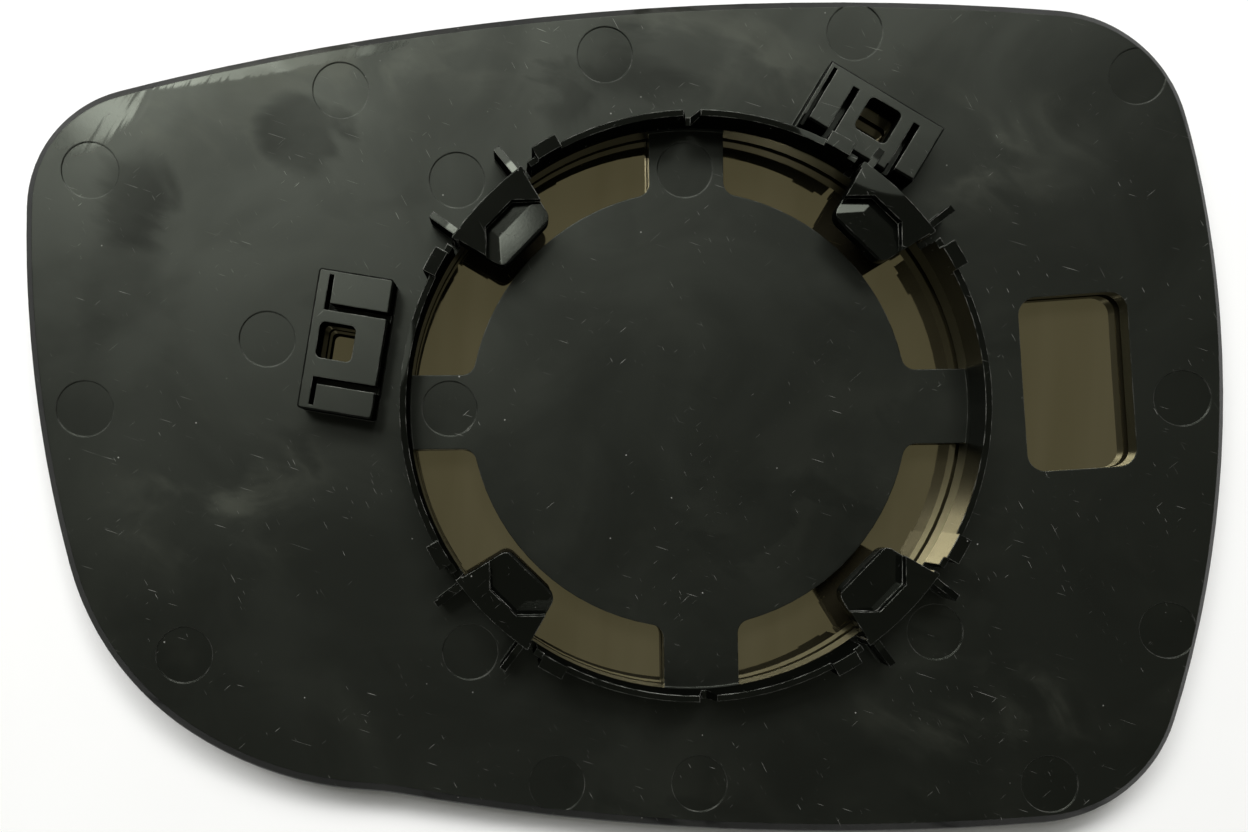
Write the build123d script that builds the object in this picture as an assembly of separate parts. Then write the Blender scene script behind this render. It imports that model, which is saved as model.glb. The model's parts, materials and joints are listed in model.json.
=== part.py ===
from build123d import *

import math
import os

# Door mirror glass for a car, seen from behind as it lies on its glass: a moulded backing plate
# with a snap ring, a die cut adhesive sheet, and a convex mirror pressed into the plate's rim.
# Millimetres. X runs along the mirror, Y up the mirror, and Z out of its back. The origin is under
# the middle of the outline, at the level of the crown of the glass.

# Outline of the plate: the five corners before rounding, clockwise from the top left
corner_top_left = (-85.0, 43.1)
corner_top_right = (76.2, 57.2)
corner_bottom_right = (74.2, -57.3)
corner_bottom_left = (-34.9, -54.4)
corner_left = (-77.1, -31.3)
# How far the middle of each side bows out from the straight line between its corners
bow_top = 8.8
bow_right = 11.3
bow_bottom = 4.4
bow_lower_left = 5.9
bow_left = 4.0
# Rounding of each corner
round_top_left = 18.3
round_top_right = 21.6
round_bottom_right = 21.8
round_bottom_left = 44.9
round_left = 42.1

# Layers, from the front of the mirror to the back
mirror_radius = 1260.0
glass_thickness = 2.0
adhesive_thickness = 0.8
plate_wall = 2.2
# Rim of the plate round the glass
rim_wall = 1.2
rim_proud = 0.3
shoulder_radius = 3.0
glass_clearance = 0.2
glass_edge_chamfer = 0.4
adhesive_setback = 1.5
opening_setback = 0.8

# Snap ring that clips over the adjuster, and the four windows that free its hooks in the mould
ring_centre = (9.0, 1.0)
ring_turn = 0.7
ring_inner_radius = 40.2
ring_wall = 1.3
ring_top_wall = 0.9
ring_height = 6.4
disc_radius = 31.6
bridge_width = 10.7
lower_bridge_shift = 1.3
window_disc_round = 2.0
# Vee nick in the ring above the upper and the lower bridge
nick_width = 2.4
nick_foot = 0.7
nick_depth = 4.2

# Clip groups, one between each two bridges
clip_angles = (45.0, 135.0, 225.0, 315.0)
arm_half_angle = 9.7
arm_pad = 2.0
arm_pad_width = 5.2
slit_width = 1.0
slit_foot = 0.8
# Hook on the inside of each arm, set below its top: two facets that lean outwards, and one at its end
hook_drop = 1.5
hook_reach = 7.7
hook_tip_width = 9.4
hook_round = 1.6
hook_root_facet = 2.2
hook_root_lean = 8.5
hook_tip_lean = 3.0
hook_tip_chamfer = 0.3
hook_end_facet = 2.6
hook_end_lean = 6.0
hook_catch_height = 3.0
# Blades behind each arm, and stops beside it
gusset_angle = 8.2
gusset_thickness = 1.0
gusset_reach = 4.0
gusset_drop = 0.3
gusset_slope = 0.9
post_angle = 15.5
post_width = 3.7
post_wall = 1.9
post_height = 7.6

# Slot in the plate beside the ring
slot_centre = (64.7, 4.9)
slot_width = 15.4
slot_length = 25.1
slot_lean = 3.8
slot_round = 2.6

# Two holders for the heater's terminals. Each is placed by its angle round the ring and its gap
# from the ring's wall, and turned to the heading of its long side
holder_beside_angle = 169.8
holder_beside_gap = 2.7
holder_beside_heading = 80.7
holder_above_angle = 57.3
holder_above_gap = 0.4
holder_above_heading = -31.0
# How far each holder and its middle block reach to either side along the heading
holder_beside_reach = (9.9, 9.9)
holder_beside_block = (5.2, 4.2)
holder_beside_width = 10.6
holder_above_reach = (9.8, 8.6)
holder_above_block = (4.4, 4.4)
holder_above_width = 9.4
# Sizes that both holders share
holder_height = 5.2
holder_round = 0.5
holder_rail = 1.6
holder_gap = 1.0
holder_gap_depth = 3.4
holder_hole = 5.1
holder_hole_round = 0.8
holder_hole_edge = 1.4
# The holder beside the ring has gaps along its rail
holder_rail_gap = 0.7
# The holder above has shelves set back from the ring, and a thin wall at one end that meets the ring
shelf_setback = 0.8
end_wall = 0.7
end_groove = 0.6
end_wall_reach = 1.8

# Round marks that the ejector pins left in the back of the plate
pin_radius = 4.0
pin_depth = 0.15
pin_marks = [
    (-76.4, 34.7), (-41.1, 46.6), (-3.2, 52.0), (32.7, 55.1), (72.7, 48.4),
    (-24.5, 34.0), (-51.7, 11.0), (-77.3, 0.9), (-25.6, 1.1), (8.4, 35.6),
    (79.4, 2.5), (44.4, -31.1), (-63.3, -34.2), (77.2, -30.7), (-22.6, -34.0),
    (-10.1, -52.9), (10.4, -52.9), (60.3, -52.7),
]

os.makedirs("parts", exist_ok=True)

# Spheres share one centre, so that the layers lie face to face
ball_centre = Pos(ring_centre[0], ring_centre[1], mirror_radius)
glass_back_radius = mirror_radius - glass_thickness
floor_radius = glass_back_radius - adhesive_thickness
rear_radius = floor_radius - plate_wall
# A prism of this height reaches past the whole part
reach = 60.0


def ball(radius):
    """A sphere about the mirror's centre of curvature, with its poles out of the way."""
    return ball_centre * Rot(90, 0, 0) * Sphere(radius)


def rear_level(distance):
    """Height of the plate's back at a distance from the ring's axis."""
    return mirror_radius - math.sqrt(rear_radius**2 - distance**2)


def prism(face):
    """A tall prism on a flat face, through every layer."""
    return extrude(Pos(0, 0, -reach / 2) * face, reach)


def layer(face, outer_radius, inner_radius):
    """The part of a prism between two of the spheres."""
    return (prism(face) & ball(outer_radius)) - ball(inner_radius)


def bowed(start, end, bow):
    """An arc between two corners of a clockwise outline, whose middle stands out by the bow."""
    along = Vector(*end) - Vector(*start)
    outward = Vector(-along.Y, along.X).normalized()
    middle = (Vector(*start) + Vector(*end)) / 2 + outward * bow
    return ThreePointArc(start, middle, end)


def plate_outline():
    """The rounded outline, moved so that its box is centred on the origin."""
    upper_corners = [corner_top_left, corner_top_right]
    corners = upper_corners + [corner_bottom_right, corner_bottom_left, corner_left]
    bows = [bow_top, bow_right, bow_bottom, bow_lower_left, bow_left]
    rounds = [round_top_left, round_top_right, round_bottom_right, round_bottom_left, round_left]
    next_corners = corners[1:] + corners[:1]
    sides = [bowed(*side) for side in zip(corners, next_corners, bows)]
    face = make_face(Curve() + sides)
    for corner, radius in zip(corners, rounds):
        vertex = min(face.vertices(), key=lambda v: (Vector(*corner) - Vector(v.X, v.Y)).length)
        face = fillet(vertex, radius)
    middle = face.bounding_box().center()
    return Pos(-middle.X, -middle.Y, 0) * face


def moved_edge(face, amount):
    """A flat face with its edge moved out by the amount, or in where it is negative, drawn afresh."""
    lines = []
    for edge in offset(face, amount, kind=Kind.INTERSECTION).edges():
        if edge.geom_type == GeomType.LINE:
            lines.append(Line(edge @ 0, edge @ 1))
        else:
            lines.append(ThreePointArc(edge @ 0, edge @ 0.5, edge @ 1))
    return make_face(Curve() + lines)


ring_place = Pos(*ring_centre, 0) * Rot(0, 0, ring_turn)


def window_faces():
    """Four arc windows between the disc and the ring, parted by the bridges."""
    bridge_length = 2 * ring_inner_radius
    level_bridges = Rectangle(2 * bridge_length, bridge_width)
    upper_bridge = Pos(0, bridge_length / 2) * Rectangle(bridge_width, bridge_length)
    lower_bridge = Pos(lower_bridge_shift, -bridge_length / 2) * Rectangle(bridge_width, bridge_length)
    rings = Circle(ring_inner_radius) - Circle(disc_radius)
    rings -= [level_bridges, upper_bridge, lower_bridge]
    faces = []
    for part in rings.faces():
        face = make_face(part.outer_wire().edges())
        by_distance = face.vertices().sort_by(lambda v: math.hypot(v.X, v.Y))
        faces.append(ring_place * fillet(by_distance[:2], window_disc_round))
    return faces


slot_place = Pos(*slot_centre) * Rot(0, 0, slot_lean)


def holder_place(angle, gap, width, heading):
    """Frame of a terminal holder: X along its length, Y away from the ring."""
    distance = ring_inner_radius + ring_wall + gap + width / 2
    centre = Vector(*ring_centre) + Vector(distance, 0).rotate(Axis.Z, angle)
    return Pos(centre.X, centre.Y, 0) * Rot(0, 0, heading)


beside_place = holder_place(
    holder_beside_angle, holder_beside_gap, holder_beside_width, holder_beside_heading
)
above_place = holder_place(
    holder_above_angle, holder_above_gap, holder_above_width, holder_above_heading
)


def hole_place(place, width):
    """Middle of the square hole in a holder, through which the glass shows."""
    return place * Pos(0, width / 2 - holder_hole_edge - holder_hole / 2)


hole_places = [
    hole_place(beside_place, holder_beside_width),
    hole_place(above_place, holder_above_width),
]
outline = plate_outline()

# Levels of the ring, measured from the back of the plate at its foot
foot_level = rear_level(ring_inner_radius)
root_level = foot_level - plate_wall / 2
ring_top = foot_level + ring_height


def nick(shift):
    """The prism of a vee nick over one bridge, across the ring on the positive X axis."""
    points = Polyline(
        (shift - nick_foot / 2, ring_top - nick_depth),
        (shift + nick_foot / 2, ring_top - nick_depth),
        (shift + nick_width / 2, ring_top),
        (shift - nick_width / 2, ring_top),
        close=True,
    )
    return extrude(Plane.YZ * make_face(points), 2 * ring_inner_radius)


def snap_ring():
    """The thin round wall, drafted outside, with the slits that free the arms and two nicks."""
    outer = ring_inner_radius + ring_wall
    outer_top = ring_inner_radius + ring_top_wall
    section = Polyline(
        (ring_inner_radius, root_level),
        (outer, root_level),
        (outer, foot_level),
        (outer_top, ring_top),
        (ring_inner_radius, ring_top),
        close=True,
    )
    wall = revolve(Plane.XZ * make_face(section), Axis.Z)
    slit_height = ring_height - slit_foot
    slit_level = foot_level + slit_foot + slit_height / 2
    slit = Pos(outer, 0, slit_level) * Box(4 * ring_wall, slit_width, slit_height)
    slit_angle = arm_half_angle + math.degrees(slit_width / 2 / ring_inner_radius)
    for clip_angle in clip_angles:
        for side in (-1, 1):
            wall -= Rot(0, 0, clip_angle + side * slit_angle) * slit
    return wall - [Rot(0, 0, 90) * nick(0), Rot(0, 0, -90) * nick(lower_bridge_shift)]


def hook():
    """A hook inside its arm: a tapered tongue with facets on top, a flat catch below and a pad behind."""
    root = ring_inner_radius + ring_wall / 3
    pad = ring_inner_radius - arm_pad
    crease = pad - hook_root_facet
    tip = ring_inner_radius - hook_reach
    root_half = ring_inner_radius * math.sin(math.radians(arm_half_angle))
    plan = make_face(
        Polyline(
            (root, -root_half),
            (root, root_half),
            (tip, hook_tip_width / 2),
            (tip, -hook_tip_width / 2),
            close=True,
        )
    )
    plan = fillet([v for v in plan.vertices() if v.X < tip + hook_round / 10], hook_round)
    root_facet_level = ring_top - hook_drop
    crease_level = root_facet_level + hook_root_facet * math.tan(math.radians(hook_root_lean))
    tip_level = crease_level + (crease - tip) * math.tan(math.radians(hook_tip_lean))
    catch_level = foot_level + hook_catch_height
    section = Polyline(
        (root, catch_level),
        (root, root_facet_level),
        (pad, root_facet_level),
        (crease, crease_level),
        (tip + hook_tip_chamfer, tip_level),
        (tip, tip_level - hook_tip_chamfer),
        (tip, catch_level),
        close=True,
    )
    tongue = extrude(Plane.XZ * make_face(section), 2 * root_half, both=True)
    corner = Pos(crease, hook_tip_width / 2 - hook_end_facet, crease_level)
    corner *= Rot(-hook_end_lean, hook_root_lean, 0)
    tongue -= corner * Box(reach, reach, reach, align=(Align.CENTER, Align.CENTER, Align.MIN))
    wedge = root_half - arm_pad_width / 2
    pad_plan = Polyline(
        (root, -root_half),
        (root, root_half),
        (pad - wedge, root_half),
        (pad, arm_pad_width / 2),
        (pad, -arm_pad_width / 2),
        (pad - wedge, -root_half),
        close=True,
    )
    arm_top = extrude(Pos(0, 0, catch_level) * make_face(pad_plan), ring_top - catch_level)
    return (tongue + arm_top) & prism(plan)


def gusset():
    """A thin radial blade that stiffens the outside of an arm."""
    start = ring_inner_radius + ring_top_wall / 2
    end = ring_inner_radius + ring_wall + gusset_reach
    section = Polyline(
        (start, root_level),
        (end, root_level),
        (end, ring_top - gusset_drop - gusset_slope),
        (start, ring_top - gusset_drop),
        close=True,
    )
    return extrude(Plane.XZ * make_face(section), gusset_thickness / 2, both=True)


def post():
    """A stop that stands on the ring beside an arm, a little taller than the wall."""
    band = Circle(ring_inner_radius + post_wall) - Circle(ring_inner_radius)
    face = band & (Pos(ring_inner_radius, 0) * Rectangle(4 * post_wall, post_width))
    return extrude(Pos(0, 0, root_level) * face, post_height + foot_level - root_level)


def clip_group():
    """One hook with its two gussets and its two stops, on the positive X axis."""
    pieces = [hook()]
    for side in (-1, 1):
        pieces.append(Rot(0, 0, side * gusset_angle) * gusset())
        pieces.append(Rot(0, 0, side * post_angle) * post())
    return pieces


def holder_body(place, plan, block, width):
    """A raised block on a plan, with a rail along its far side and a gap on each side of its middle."""
    distance = math.dist(ring_centre, (place.position.X, place.position.Y))
    height = holder_height + plate_wall / 2
    body = extrude(plan, height)
    body = chamfer(body.faces().sort_by(Axis.Z)[-1].edges(), holder_round / 2)
    gap = Box(holder_gap, width - holder_rail, holder_gap_depth)
    gap_level = height - holder_gap_depth / 2
    for along in (-block[0] - holder_gap / 2, block[1] + holder_gap / 2):
        body -= Pos(along, -holder_rail / 2, gap_level) * gap
    return Pos(0, 0, rear_level(distance) - plate_wall / 2) * body


def holder_beside():
    """The terminal holder beside the ring, with gaps between its shelves and its rail."""
    ends, block, width = holder_beside_reach, holder_beside_block, holder_beside_width
    plan = Pos((ends[1] - ends[0]) / 2) * RectangleRounded(sum(ends), width, holder_round)
    body = holder_body(beside_place, plan, block, width)
    level = body.bounding_box().max.Z - holder_gap_depth / 2
    across = width / 2 - holder_rail - holder_rail_gap / 2
    for start, end in ((-ends[0] + holder_rail_gap, -block[0]), (block[1], ends[1] - holder_rail_gap)):
        gap = Box(end - start, holder_rail_gap, holder_gap_depth)
        body -= Pos((start + end) / 2, across, level) * gap
    return beside_place * body


def holder_above():
    """The terminal holder above the ring, with a grooved end wall that meets the ring."""
    ends, block, width = holder_above_reach, holder_above_block, holder_above_width
    shelves = Pos((ends[1] - ends[0]) / 2, shelf_setback / 2) * Rectangle(sum(ends), width - shelf_setback)
    middle = Pos((block[1] - block[0]) / 2) * Rectangle(sum(block), width)
    wall = Pos(-ends[0] + end_wall / 2, -end_wall_reach / 2) * Rectangle(end_wall, width + end_wall_reach)
    body = holder_body(above_place, shelves + middle + wall, block, width)
    level = body.bounding_box().max.Z - holder_gap_depth / 2
    groove = Box(end_groove, width, holder_gap_depth)
    return above_place * (body - Pos(-ends[0] + end_wall + end_groove / 2, -end_wall, level) * groove)


def pin_mark(place):
    """The disc that a pin mark takes out of the plate, square to its curved back."""
    level = rear_level(math.dist(ring_centre, place))
    inward = (ring_centre[0] - place[0], ring_centre[1] - place[1], mirror_radius - level)
    return Plane(origin=(*place, level), z_dir=inward) * Cylinder(pin_radius, 2 * pin_depth)


def curved_faces(shell):
    """The curved faces of the shell, from its front to its back."""
    return shell.faces().filter_by(GeomType.SPHERE).sort_by(Axis.Z)


def shouldered(shell):
    """The shell with its rear edge taken off in two flats that follow a round, and its front edge broken."""
    first = shoulder_radius * (2 - math.sqrt(2))
    second = shoulder_radius * (math.sqrt(2) - 1 - math.tan(math.pi / 16))
    shell = chamfer(curved_faces(shell)[-1].outer_wire().edges(), first)
    walls = shell.faces().filter_by(GeomType.CYLINDER)
    front_edges = curved_faces(shell)[0].outer_wire().edges()
    return chamfer(front_edges + [wall.edges().sort_by(Axis.Z)[-1] for wall in walls], second)


def backing_plate():
    """The black moulding: rim and floor, snap ring with its clips, terminal holders and pin marks."""
    shell = shouldered(layer(outline, mirror_radius + rim_proud, rear_radius))
    pocket = moved_edge(outline, -rim_wall)
    plate = shell - (prism(pocket) - ball(floor_radius))
    plate += ring_place * snap_ring()
    group = clip_group()
    for clip_angle in clip_angles:
        plate += [ring_place * Rot(0, 0, clip_angle) * piece for piece in group]
    plate += [holder_beside(), holder_above()]
    plate -= [pin_mark(place) for place in pin_marks]
    through = [extrude(Pos(0, 0, -reach / 2) * face, reach / 2 + foot_level) for face in window_faces()]
    through.append(prism(slot_place * RectangleRounded(slot_width, slot_length, slot_round)))
    hole = RectangleRounded(holder_hole, holder_hole, holder_hole_round)
    through += [prism(place * hole) for place in hole_places]
    return plate - through


def adhesive_sheet():
    """The double sided sheet between the plate and the glass, cut clear of the ring and openings."""
    sheet = moved_edge(outline, -rim_wall - adhesive_setback)
    sheet -= ring_place * Circle(ring_inner_radius + opening_setback)
    sheet -= slot_place * Rectangle(slot_width + 2 * opening_setback, slot_length + 2 * opening_setback)
    hole_cut = holder_hole + 2 * opening_setback
    sheet -= [place * Rectangle(hole_cut, hole_cut) for place in hole_places]
    return layer(sheet, glass_back_radius, floor_radius)


def mirror_glass():
    """The convex mirror, with its front edge ground off."""
    pane = moved_edge(outline, -rim_wall - glass_clearance)
    glass = layer(pane, mirror_radius, glass_back_radius)
    front_face = min(glass.faces(), key=lambda f: f.center().Z - f.area)
    return chamfer(front_face.outer_wire().edges(), glass_edge_chamfer)


parts = {
    "backing_plate": backing_plate(),
    "adhesive_sheet": adhesive_sheet(),
    "mirror_glass": mirror_glass(),
}
for name, solid in parts.items():
    export_step(solid, f"parts/{name}.step")
    print(name, "volume", round(solid.volume), "box", solid.bounding_box().size)
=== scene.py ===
# %% [markdown]
# This is the glass of a car's door mirror. It lies on its face, so what shows is the black plate
# that carries it. Its shapes could be modelled again here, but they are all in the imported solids,
# with their real sizes. So this script loads those and gives them surfaces, light and a camera.

import json
import math

import bpy
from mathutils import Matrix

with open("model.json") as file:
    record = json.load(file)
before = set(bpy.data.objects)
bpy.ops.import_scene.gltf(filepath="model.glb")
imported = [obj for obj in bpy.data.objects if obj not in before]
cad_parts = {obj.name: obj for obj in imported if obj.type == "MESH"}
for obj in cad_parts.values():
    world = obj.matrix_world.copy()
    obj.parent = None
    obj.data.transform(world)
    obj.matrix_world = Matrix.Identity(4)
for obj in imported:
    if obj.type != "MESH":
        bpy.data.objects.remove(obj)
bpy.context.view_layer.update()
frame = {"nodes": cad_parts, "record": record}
plate = frame["nodes"]["backing_plate"]
sheet = frame["nodes"]["adhesive_sheet"]
glass = frame["nodes"]["mirror_glass"]
mounts = {mount["name"]: mount["pos_m"] for mount in frame["record"]["mounts"]}
for piece in (plate, sheet, glass):
    print(piece.name, "triangles", len(piece.data.polygons))

# %% [markdown]
# Blender works in metres and in linear colours, while a maker measures in millimetres and picks
# colours as sRGB hex codes, so small functions turn one into the other. A material is a tree of
# nodes. They could be placed by hand in the shader editor, but one function that adds any node
# with its settings and links lets a tree be read from top to bottom.

# %% Units, colours and nodes
MM = 0.001


def linear(code):
    """An sRGB hex colour as linear red, green, blue and alpha."""
    parts = [int(code[i : i + 2], 16) / 255 for i in (1, 3, 5)]
    rgb = [c / 12.92 if c <= 0.04045 else ((c + 0.055) / 1.055) ** 2.4 for c in parts]
    return (*rgb, 1.0)


def scale_for(size):
    """The scale that makes a pattern's patches about so many millimetres wide."""
    return 1 / (size * MM)


def fill(tree, node, inputs):
    """Fills or links a node's inputs, given as a list in order or by name or number."""
    for key, value in inputs.items() if isinstance(inputs, dict) else enumerate(inputs):
        if isinstance(value, bpy.types.NodeSocket):
            tree.links.new(value, node.inputs[key])
        else:
            node.inputs[key].default_value = value


def add(tree, kind, inputs, output=0, **settings):
    """Adds a shader node with its settings and inputs, and gives one of its outputs."""
    node = tree.nodes.new("ShaderNode" + kind)
    for name, value in settings.items():
        setattr(node, name, value)
    fill(tree, node, inputs)
    return node.outputs[output]


def new_material(name):
    """A node material with its shader, and the object's own coordinates in metres."""
    material = bpy.data.materials.new(name)
    material.use_nodes = True
    tree = material.node_tree
    place = add(tree, "TexCoord", [], "Object")
    return material, tree, tree.nodes["Principled BSDF"], place


print("one millimetre is", MM, "of a metre")

# %% [markdown]
# The plate is black plastic, injection moulded in one piece, but its parts don't shine alike. Each
# could have a material of its own, picked by the numbers of its faces, but a new pack may number
# them anew. Masks are surer. They start from how high a point stands above the back, which is
# hollow like a dish, and how far it is from the ring's axis. A map range node with a smooth step
# turns such a measure into a mask: nothing at its first limit and one at its second.

# %% Height above the back
SMOOTH = {"interpolation_type": "SMOOTHSTEP"}
DISH_RADIUS = 1255.0
BACK_LEVEL = 5.0
RAISED = (0.4, 1.2)
RING_OUTSIDE = 42.4
RING_MARGIN = 0.5

material, tree, shader, place = new_material("black_moulded_plastic")
height = add(tree, "SeparateXYZ", [place], "Z")
off_axis = add(tree, "VectorMath", [place, mounts["snap_ring"]], operation="SUBTRACT")
off_axis = add(tree, "VectorMath", [off_axis, (1.0, 1.0, 0.0)], operation="MULTIPLY")
square = add(tree, "VectorMath", [off_axis, off_axis], "Value", operation="DOT_PRODUCT")
dish = add(tree, "Math", [square, 2 * DISH_RADIUS * MM], operation="DIVIDE")
above_dish = add(tree, "Math", [height, dish], operation="SUBTRACT")
limits = [(BACK_LEVEL + rise) * MM for rise in RAISED]
raised = add(tree, "MapRange", [above_dish, *limits], **SMOOTH)
limits = [(radius * MM) ** 2 for radius in (RING_OUTSIDE, RING_OUTSIDE + RING_MARGIN)]
outside = add(tree, "MapRange", [square, *limits], **SMOOTH)
print("back", BACK_LEVEL, "mm high, ring", RING_OUTSIDE, "mm in radius outside")

# %% [markdown]
# How a face leans tells the rest: one for a level face and nothing for an upright wall. So the sunk
# pin marks, the steep walls, the sloped blades outside the ring and the flats of the outer shoulder
# are told apart. Marking them by hand as vertex groups would do it too, but would be lost with each
# new pack. Where a part needs several masks, they are multiplied.

# %% Lean of the faces
SUNK = (0.05, 0.1)


def overlap(tree, *masks):
    """Where all the masks lie."""
    result = masks[0]
    for mask in masks[1:]:
        result = add(tree, "Math", [result, mask], operation="MULTIPLY")
    return result


true_normal = add(tree, "NewGeometry", [], "True Normal")
lean = add(tree, "SeparateXYZ", [true_normal], "Z")
limits = [(BACK_LEVEL - depth) * MM for depth in SUNK]
below_back = add(tree, "MapRange", [above_dish, *limits], **SMOOTH)
nearly_level = add(tree, "MapRange", [lean, 0.9, 0.97], **SMOOTH)
sunk = overlap(tree, below_back, nearly_level)
steep = add(tree, "MapRange", [lean, 0.4, 0.25], **SMOOTH)
wall = overlap(tree, raised, steep)
not_level = add(tree, "MapRange", [lean, 0.995, 0.98], **SMOOTH)
not_steep = add(tree, "MapRange", [lean, 0.3, 0.5], **SMOOTH)
blade = overlap(tree, raised, outside, not_level, not_steep)
not_upright = add(tree, "MapRange", [lean, 0.15, 0.3], **SMOOTH)
sloping = add(tree, "MapRange", [lean, 0.9, 0.75], **SMOOTH)
shoulder = overlap(tree, not_upright, sloping)
print("plate's parts told apart by", len(tree.nodes), "nodes")

# %% [markdown]
# What stands up is glossy, but for the two terminal holders, which are as matt as the back. They
# could be told by their height, but the ring has it too, so a soft oval spot lies over each one.

# %% Terminal holders
ANY_HEIGHT = 1000.0
HOLDERS = {
    "terminal_holder_beside": ((14.0, 10.0), 80.7),
    "terminal_holder_above": ((14.0, 9.5), -31.0),
}


def patch(tree, place, centre, size, angle=0.0):
    """A soft oval spot at all heights: one at its centre and nothing at its edge."""
    inputs = {
        "Vector": place,
        "Location": (centre[0] * MM, centre[1] * MM, 0.0),
        "Rotation": (0.0, 0.0, math.radians(angle)),
        "Scale": (size[0] * MM, size[1] * MM, ANY_HEIGHT),
    }
    spot = add(tree, "Mapping", inputs, vector_type="TEXTURE")
    return add(tree, "TexGradient", [spot], "Fac", gradient_type="SPHERICAL")


holders = 0.0
for name, (size, angle) in HOLDERS.items():
    centre = [v / MM for v in mounts[name]]
    spot = patch(tree, place, centre, size, angle)
    holders = add(tree, "Math", [holders, spot], operation="MAXIMUM")
not_holders = add(tree, "MapRange", [holders, 0.02, 0.12, 1.0, 0.0], **SMOOTH)
glossy = overlap(tree, raised, not_holders)
print("matt holders", len(HOLDERS))

# %% [markdown]
# The part has been handled and taken off a car. A dusty haze lies on its back, thicker in smeared
# spots. Most spots lie along the top, where they are painted glow as well as dust: they lighten the
# back where it catches the light. The haze could be drawn into a picture, but a picture needs a file
# and an unwrapped mesh. Here noise gives the texture and oval spots say where it lies, which needs
# neither. Each spot has a centre and a half width and height, in millimetres.

# %% Dust and painted glow
DUST_AND_GLOW_SPOTS = [
    ((-70.0, 42.0), (26.0, 14.0)),
    ((-43.0, 44.0), (16.0, 10.0)),
    ((-40.0, 51.0), (38.0, 7.0)),
    ((6.0, 57.0), (16.0, 6.0)),
    ((19.0, 50.0), (14.0, 10.0)),
    ((49.0, 38.0), (22.0, 14.0)),
    ((-58.0, -12.0), (20.0, 13.0)),
    ((52.0, -42.0), (22.0, 10.0)),
]
CLOUD_SIZE = 16.0
SMEAR_ANGLE = 24.0
SMEAR_SIZE = (16.0, 9.0)


def stretched(tree, place, angle, along, across):
    """Coordinates turned about Z, with one unit to so many millimetres along and across."""
    turn = (0.0, 0.0, math.radians(angle))
    turned = add(tree, "Mapping", {"Vector": place, "Rotation": turn})
    scale = (scale_for(along), scale_for(across), scale_for(along))
    return add(tree, "Mapping", {"Vector": turned, "Scale": scale})


cloudy = {"Detail": 5.0, "Distortion": 0.6}
clouds = add(tree, "TexNoise", {"Vector": place, "Scale": scale_for(CLOUD_SIZE), **cloudy})
smeared = stretched(tree, place, SMEAR_ANGLE, *SMEAR_SIZE)
smears = add(tree, "TexNoise", {"Vector": smeared, "Scale": 1.0, **cloudy})
haze_and_glow = add(tree, "MapRange", [clouds, 0.42, 0.72, 0.0, 0.22], **SMOOTH)
wiped_on = add(tree, "MapRange", [smears, 0.4, 0.7], **SMOOTH)
# The spots add dust and a painted glow.
for centre, size in DUST_AND_GLOW_SPOTS:
    spot = overlap(tree, patch(tree, place, centre, size), wiped_on)
    haze_and_glow = add(tree, "Math", [haze_and_glow, spot], operation="ADD")
print("dusty spots", len(DUST_AND_GLOW_SPOTS))

# %% [markdown]
# Darker, greasy stains wipe away the dust and its painted glow, and what is glossy gets less of
# both, so it is painted darker. By the upper left edge the plate is rubbed shiny, in streaks. These
# are spots too, the shiny ones with an angle. A plain oval would look drawn on, so noise makes them
# ragged.

# %% Stains and shine
STAINED_SPOTS = [
    ((-1.5, 48.5), (15.0, 9.0)),
    ((-45.5, 40.5), (9.0, 7.0)),
    ((-70.0, 31.5), (9.0, 9.0)),
]
SHINY_SPOTS = [
    ((-75.0, 43.5), (11.0, 6.0), 38.0),
    ((-51.5, 49.8), (27.0, 1.7), 10.2),
]
RUB_ANGLE = -60.0
RUB_SIZE = (8.0, 0.6)

ragged = add(tree, "MapRange", [smears, 0.3, 0.7, -0.5, 0.2], **SMOOTH)
stain = 0.0
for centre, size in STAINED_SPOTS:
    spot = add(tree, "Math", [patch(tree, place, centre, size), ragged], operation="ADD")
    spot = add(tree, "MapRange", [spot, 0.05, 0.5], **SMOOTH)
    stain = add(tree, "Math", [stain, spot], operation="MAXIMUM")
haze_and_glow = add(tree, "Math", [haze_and_glow, stain], operation="SUBTRACT")
haze_and_glow = add(tree, "MapRange", [haze_and_glow, 0.0, 1.2], **SMOOTH)
# What stands up gets less dust and painted glow, so it is painted darker.
dust_and_glow_held = add(tree, "MapRange", [glossy, 0.0, 1.0, 1.0, 0.3], **SMOOTH)
haze_and_glow = overlap(tree, haze_and_glow, dust_and_glow_held)
rubbed = stretched(tree, place, RUB_ANGLE, *RUB_SIZE)
inputs = {"Vector": rubbed, "Scale": 1.0, "Detail": 3.0, "Distortion": 0.3}
rubbing = add(tree, "TexNoise", inputs)
streaky = add(tree, "MapRange", [rubbing, 0.3, 0.6, 0.4, 1.0], **SMOOTH)
shine = 0.0
for centre, size, angle in SHINY_SPOTS:
    spot = overlap(tree, patch(tree, place, centre, size, angle), streaky)
    spot = add(tree, "MapRange", [spot, 0.1, 0.4], **SMOOTH)
    shine = add(tree, "Math", [shine, spot], operation="MAXIMUM")
print("stained spots", len(STAINED_SPOTS), "shiny spots", len(SHINY_SPOTS))

# %% [markdown]
# Fine scratches run in three directions, and pale specks are scattered about. Cut into the mesh they
# would cost far more faces than they are worth. So a scratch is a thin line of stretched noise, and
# a speck the middle of a random cell. Many real scratches are finer: these are about 0.15 mm wide,
# because less wouldn't show. Each row gives an angle, a length, a width and how rare they are.

# %% Scratches and specks
SCRATCHES = [
    (18.0, 5.0, 0.16, 0.76),
    (-41.0, 3.0, 0.14, 0.77),
    (62.0, 2.5, 0.14, 0.76),
]
SCRATCH_EDGE = 0.04
SCRATCHED_AREA = 9.0
SPECK_SPACING = 2.2

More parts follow.
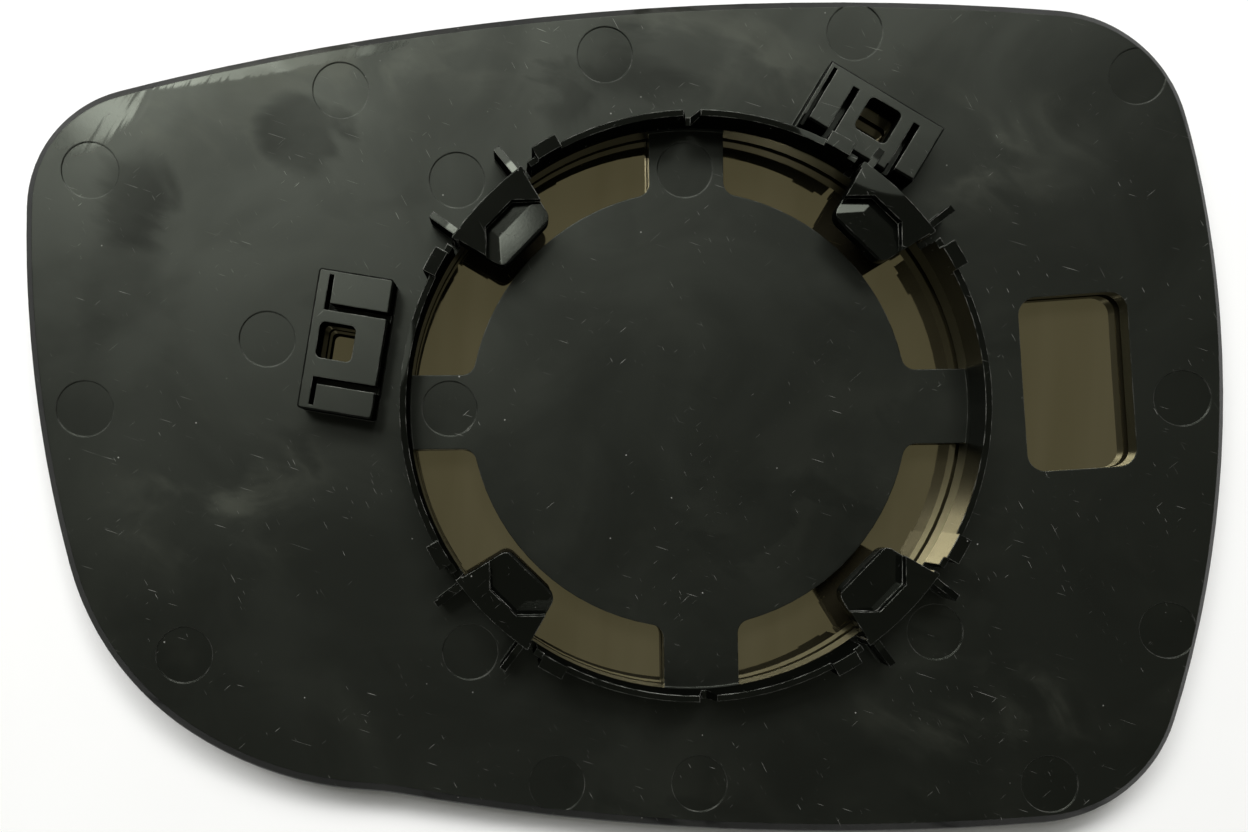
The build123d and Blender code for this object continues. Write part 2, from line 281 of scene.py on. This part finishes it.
scratches = 0.0
for angle, length, width, limit in SCRATCHES:
    drawn = stretched(tree, place, angle, length, width)
    inputs = {"Vector": drawn, "Scale": 1.0, "Detail": 1.0, "Distortion": 0.25}
    lines = add(tree, "TexNoise", inputs)
    lines = add(tree, "MapRange", [lines, limit, limit + SCRATCH_EDGE], **SMOOTH)
    scratches = add(tree, "Math", [scratches, lines], operation="MAXIMUM")
areas = add(tree, "TexNoise", {"Vector": place, "Scale": scale_for(SCRATCHED_AREA)})
areas = add(tree, "MapRange", [areas, 0.42, 0.68, 0.0, 0.5], **SMOOTH)
scratches = overlap(tree, scratches, areas)
cells = add(tree, "TexVoronoi", {"Vector": place, "Scale": scale_for(SPECK_SPACING)}, "Color")
dots = add(tree, "MapRange", [cells.node.outputs["Distance"], 0.07, 0.03], **SMOOTH)
chosen = add(tree, "SeparateColor", [cells], "Red")
chosen = add(tree, "MapRange", [chosen, 0.84, 0.96, 0.0, 0.6], **SMOOTH)
specks = overlap(tree, dots, chosen)
print("directions of scratches", len(SCRATCHES))

# %% [markdown]
# Sharp edges are painted pale, most of all on what stands up: partly scuffs, and partly painted
# glints where a rounded edge would catch the light. The mesh could be rounded there, but the
# imported meshes stay as they are. A bevel node rounds only the normal near an edge, so the pale
# edge lies where that departs from the true one.

# %% Scuffs and painted edge glints
EDGE_ROUND = 0.2
SCUFF_SIZE = 2.0

edge = add(tree, "Bevel", {"Radius": EDGE_ROUND * MM}, samples=4)
flatness = add(tree, "VectorMath", [edge, true_normal], "Value", operation="DOT_PRODUCT")
at_edge = add(tree, "MapRange", [flatness, 0.95, 0.75], **SMOOTH)
worn = add(tree, "TexNoise", {"Vector": place, "Scale": scale_for(SCUFF_SIZE), "Detail": 3.0})
worn = add(tree, "MapRange", [worn, 0.42, 0.62], **SMOOTH)
exposed = add(tree, "MapRange", [raised, 0.0, 1.0, 0.25, 0.8], **SMOOTH)
# Pale edges: scuffs, and painted glints.
scuffs_and_glints = overlap(tree, at_edge, worn, exposed)
marks_and_glints = add(tree, "Math", [scratches, specks], operation="MAXIMUM")
marks_and_glints = add(tree, "Math", [marks_and_glints, scuffs_and_glints], operation="MAXIMUM")
print("wear added, nodes so far", len(tree.nodes))

# %% [markdown]
# The mould's fine grain spreads the light on the black plastic into a soft glow. What stands up is
# smoother and so looks blacker. One roughness for all would be simpler, but then the ring would be
# as grey as the back. Where the pins pushed, the plate is a little smoother, and dust and scratches
# make it rougher.

# %% Colour and roughness
CLEAN = linear("#080907")
# The dust colour also paints the glow on the back.
DUST_AND_GLOW = linear("#34352e")
# The pale colour paints glints along the edges as well as scuffs.
SCUFF_AND_GLINT = linear("#a3a39d")
# A mix node has sockets for numbers, vectors and colours. These are the ones for colours.
FACTOR, FIRST, SECOND, MIXED = 0, 6, 7, 2
COLOURS = {"data_type": "RGBA"}
BACK_ROUGHNESS = 0.35
RING_ROUGHNESS = 0.1

colour = add(tree, "Mix", {FACTOR: haze_and_glow, FIRST: CLEAN, SECOND: DUST_AND_GLOW}, MIXED, **COLOURS)
colour = add(tree, "Mix", {FACTOR: marks_and_glints, FIRST: colour, SECOND: SCUFF_AND_GLINT}, MIXED, **COLOURS)
levels = [BACK_ROUGHNESS, RING_ROUGHNESS]
roughness = add(tree, "MapRange", [glossy, 0.0, 1.0, *levels], **SMOOTH)
changes = ((wall, 0.12), (shine, -0.24), (sunk, -0.035), (haze_and_glow, 0.12), (marks_and_glints, 0.3))
for mask, change in changes:
    roughness = add(tree, "Math", [mask, change, roughness], operation="MULTIPLY_ADD")
print("changes to the roughness", len(changes))

# %% [markdown]
# Walls, blades and the shoulder are duller than the back. More roughness would make them dull too,
# but also grey, so they get less specular light instead. Only the ring's wall on the lower right is
# rubbed smooth inside, and a spot there takes some of the dullness away. Handling left grease in
# wide patches, so the gloss varies slowly.

# %% Gloss
GREASE_SIZE = 26.0
GLOSS = (0.4, 0.58)
SHINY_WALL = ((46.0, -6.0), (22.0, 34.0))

rubbed = patch(tree, place, *SHINY_WALL)
wall_dullness = add(tree, "MapRange", [rubbed, 0.0, 0.3, 1.0, 0.6], **SMOOTH)
level = add(tree, "MapRange", [lean, 0.97, 0.995], **SMOOTH)
tops = overlap(tree, glossy, level)
dull = 0.0
for mask, amount in ((shoulder, 0.88), (blade, 0.9), (wall, wall_dullness), (tops, 0.3)):
    duller = add(tree, "Math", [mask, amount], operation="MULTIPLY")
    dull = add(tree, "Math", [dull, duller], operation="MAXIMUM")
bright = add(tree, "Math", [1.0, dull], operation="SUBTRACT")
inputs = {"Vector": place, "Scale": scale_for(GREASE_SIZE), "Detail": 4.0, "Distortion": 1.0}
grease = add(tree, "TexNoise", inputs)
greasy = add(tree, "MapRange", [grease, 0.3, 0.7, *GLOSS], **SMOOTH)
gloss = overlap(tree, bright, greasy)
gloss = add(tree, "Math", [stain, -0.17, gloss], operation="MULTIPLY_ADD")
print("gloss varies over", GREASE_SIZE, "mm")

# %% [markdown]
# The grain is too fine to model, and real grain is too fine to show in the picture as well, so a
# bump node draws it 0.35 mm wide. Scratches are sunk into it. A second, wide bump stands for the
# slight waves that moulded plastic has from cooling. The light that the skin reflects is a very
# little green.

# %% Moulded plastic
GRAIN_SIZE = 0.35
GRAIN_HEIGHT = 0.006
WAVE_SIZE = 24.0
WAVE_HEIGHT = 0.05
PLASTIC_IOR = 1.5
SKIN_TINT = linear("#f6ffec")

relief = add(tree, "TexNoise", {"Vector": place, "Scale": scale_for(GRAIN_SIZE)})
relief = add(tree, "Math", [scratches, -2.0, relief], operation="MULTIPLY_ADD")
inputs = {"Height": relief, "Strength": 0.25, "Distance": GRAIN_HEIGHT * MM, "Normal": edge}
grain = add(tree, "Bump", inputs)
waves = add(tree, "TexNoise", {"Vector": place, "Scale": scale_for(WAVE_SIZE), "Detail": 1.0})
inputs = {"Height": waves, "Strength": 1.0, "Distance": WAVE_HEIGHT * MM, "Normal": grain}
surface = {
    "Base Color": colour,
    "Roughness": roughness,
    "Specular IOR Level": gloss,
    "Specular Tint": SKIN_TINT,
    "IOR": PLASTIC_IOR,
    "Normal": add(tree, "Bump", inputs),
}
fill(tree, shader, surface)
plate.data.materials[0] = material
print(material.name, "nodes", len(tree.nodes))

# %% [markdown]
# The mirror is float glass, silvered and then lacquered on its back. It could be clear glass over a
# silver layer, but one metallic surface gives the eye the same and renders sooner. In the windows
# the silvering shows through the brown lacquer, as a dark mirror of the hooks and the dim room. In
# front it is a clean mirror, and round its edge the ground glass is grey and matt.

# %% Mirror
LACQUER = (linear("#cabe95"), linear("#d4c8a0"))
GROUND = linear("#7e8480")
SILVER = linear("#dfe3e2")
STREAK_ANGLE = 4.0
STREAK_SIZE = (6.0, 60.0)

material, tree, shader, place = new_material("silvered_glass")
true_normal = add(tree, "NewGeometry", [], "True Normal")
facing = add(tree, "SeparateXYZ", [true_normal], "Z")
back = add(tree, "MapRange", [facing, 0.8, 0.9], **SMOOTH)
front = add(tree, "MapRange", [facing, -0.8, -0.9], **SMOOTH)
drawn = stretched(tree, place, STREAK_ANGLE, *STREAK_SIZE)
streaks = add(tree, "TexNoise", {"Vector": drawn, "Scale": 1.0, "Distortion": 0.2})
streaks = add(tree, "MapRange", [streaks, 0.3, 0.7], **SMOOTH)
inputs = {FACTOR: streaks, FIRST: LACQUER[0], SECOND: LACQUER[1]}
brown = add(tree, "Mix", inputs, MIXED, **COLOURS)
colour = add(tree, "Mix", {FACTOR: back, FIRST: GROUND, SECOND: brown}, MIXED, **COLOURS)
colour = add(tree, "Mix", {FACTOR: front, FIRST: colour, SECOND: SILVER}, MIXED, **COLOURS)
print("mirror's colours mixed by", len(tree.nodes), "nodes")

# %% [markdown]
# A thin film of dirt lies on the mirror's back. It could be a layer of its own, but all it does is
# blur what is mirrored a little, so it goes into the roughness. The front is cleaner, and the ground
# edge is rough. Behind, where the lacquer lies on it, the metal is a little less than full.

# %% Mirror's finish
FILM_SIZE = 7.0
FILM_ROUGHNESS = (0.02, 0.07)
GROUND_ROUGHNESS = 0.45
LACQUERED_METAL = 0.98

film = add(tree, "TexNoise", {"Vector": place, "Scale": scale_for(FILM_SIZE), "Detail": 4.0})
film = add(tree, "MapRange", [film, 0.35, 0.75, *FILM_ROUGHNESS], **SMOOTH)
dirty = add(tree, "MapRange", [facing, -0.85, -0.95, 1.0, 0.35], **SMOOTH)
roughness = overlap(tree, film, dirty)
silvered = add(tree, "Math", [back, front], operation="MAXIMUM")
ground = add(tree, "Math", [1.0, silvered], operation="SUBTRACT")
roughness = add(tree, "Math", [ground, GROUND_ROUGHNESS, roughness], operation="MULTIPLY_ADD")
metal = add(tree, "Math", [back, LACQUERED_METAL, front], operation="MULTIPLY_ADD")
fill(tree, shader, {"Base Color": colour, "Roughness": roughness, "Metallic": metal})
glass.data.materials[0] = material
print(material.name, "nodes", len(tree.nodes))

# %% [markdown]
# The adhesive is black closed cell foam between two films of glue. Only its cut edge could ever be
# seen, as a dull grainy line under the plate, so modelled bubbles would be wasted. Noise as fine as
# the foam's cells gives it its colour and a little relief.

# %% Foam
CELL_SIZE = 0.25
CELL_DEPTH = 0.05
FOAM = (linear("#0d0d0d"), linear("#242424"))
FOAM_ROUGHNESS = 0.9

material, tree, shader, place = new_material("black_foam")
cells = add(tree, "TexNoise", {"Vector": place, "Scale": scale_for(CELL_SIZE)})
inputs = {FACTOR: cells, FIRST: FOAM[0], SECOND: FOAM[1]}
colour = add(tree, "Mix", inputs, MIXED, **COLOURS)
inputs = {"Height": cells, "Strength": 0.5, "Distance": CELL_DEPTH * MM}
bubbles = add(tree, "Bump", inputs)
fill(tree, shader, {"Base Color": colour, "Roughness": FOAM_ROUGHNESS, "Normal": bubbles})
sheet.data.materials[0] = material
print(material.name, "nodes", len(tree.nodes))

# %% [markdown]
# The part lies on a plain white table. A curved backdrop could stand behind it, but the part is seen
# from above, so one wide square is enough. Its paint is matt and hardly varies.

# %% Table
TABLE_WIDTH = 3000.0
MOTTLE_SIZE = 40.0
PAINT = (linear("#f6f6f5"), linear("#fcfcfb"))
PAINT_ROUGHNESS = 0.8

bpy.ops.mesh.primitive_plane_add(size=TABLE_WIDTH * MM, location=(0, 0, 0))
table = bpy.context.object
table.name = "table"
material, tree, shader, place = new_material("white_table")
mottle = add(tree, "TexNoise", {"Vector": place, "Scale": scale_for(MOTTLE_SIZE), "Detail": 3.0})
inputs = {FACTOR: mottle, FIRST: PAINT[0], SECOND: PAINT[1]}
colour = add(tree, "Mix", inputs, MIXED, **COLOURS)
fill(tree, shader, {"Base Color": colour, "Roughness": PAINT_ROUGHNESS})
table.data.materials.append(material)
print(table.name, "with", material.name)

# %% [markdown]
# The room is dark grey above and pale along the horizon. A picture of a real room could be wrapped
# round it all, but two colours that change with height are enough for what the mirror shows.

# %% Room
HORIZON = linear("#e6e6e4")
OVERHEAD = linear("#565650")

world = bpy.data.worlds.new("studio")
bpy.context.scene.world = world
world.use_nodes = True
tree = world.node_tree
direction = add(tree, "TexCoord", [], "Generated")
up = add(tree, "SeparateXYZ", [direction], "Z")
upward = add(tree, "MapRange", [up, 0.12, 0.36], **SMOOTH)
sky = add(tree, "Mix", {FACTOR: upward, FIRST: HORIZON, SECOND: OVERHEAD}, MIXED, **COLOURS)
fill(tree, tree.nodes["Background"], {"Color": sky})
print(world.name, "nodes", len(tree.nodes))

# %% [markdown]
# A key lamp stands high on the upper left, and the hooks and the rubbed edge catch it. A wide window
# behind it gives the back its glow, a weaker one fills the right, and a small far window lights the
# inside of the ring's lower right wall. Point lamps would be simpler, but only lamps with a real
# size show up as soft shapes in a glossy surface.

# %% Light


def panel(name, at, size, watts):
    """A soft rectangular lamp aimed at the middle of the part."""
    data = bpy.data.lights.new(name, "AREA")
    data.shape = "RECTANGLE"
    data.size, data.size_y = [v * MM for v in size]
    data.energy = watts
    lamp = bpy.data.objects.new(name, data)
    bpy.context.scene.collection.objects.link(lamp)
    lamp.location = [v * MM for v in at]
    lamp.rotation_euler = lamp.location.to_track_quat("Z", "Y").to_euler()
    print(name, "watts", watts)


panel("key", at=(-235, 352, 1000), size=(230, 155), watts=1.0)
panel("window", at=(-250, 800, 1000), size=(1380, 380), watts=19.5)
panel("right_glow", at=(300, 700, 1000), size=(500, 300), watts=2.4)
panel("far_window", at=(-10, -435, 1000), size=(140, 70), watts=0.16)

# %% [markdown]
# The camera looks straight down from a hand's length above the part, a little left of and below its
# middle, so the far walls of the ring lean away from it. It could be turned towards the part, but
# then parallel edges would run together. Shifting the lens keeps the picture square to the plate.

# %% Camera
CAMERA_AT = (-13.78, -10.94, 165.0)
SENSOR_WIDTH = 36.0
LENS = 31.85
LENS_SHIFT = (0.0742, 0.0608)
NEAREST = 10.0

camera_data = bpy.data.cameras.new("camera")
camera = bpy.data.objects.new("camera", camera_data)
bpy.context.scene.collection.objects.link(camera)
bpy.context.scene.camera = camera
camera.location = [v * MM for v in CAMERA_AT]
camera_data.sensor_width = SENSOR_WIDTH
camera_data.lens = LENS
camera_data.shift_x, camera_data.shift_y = LENS_SHIFT
camera_data.clip_start = NEAREST * MM
bpy.context.scene.view_settings.view_transform = "Standard"
print("camera", CAMERA_AT, "mm")
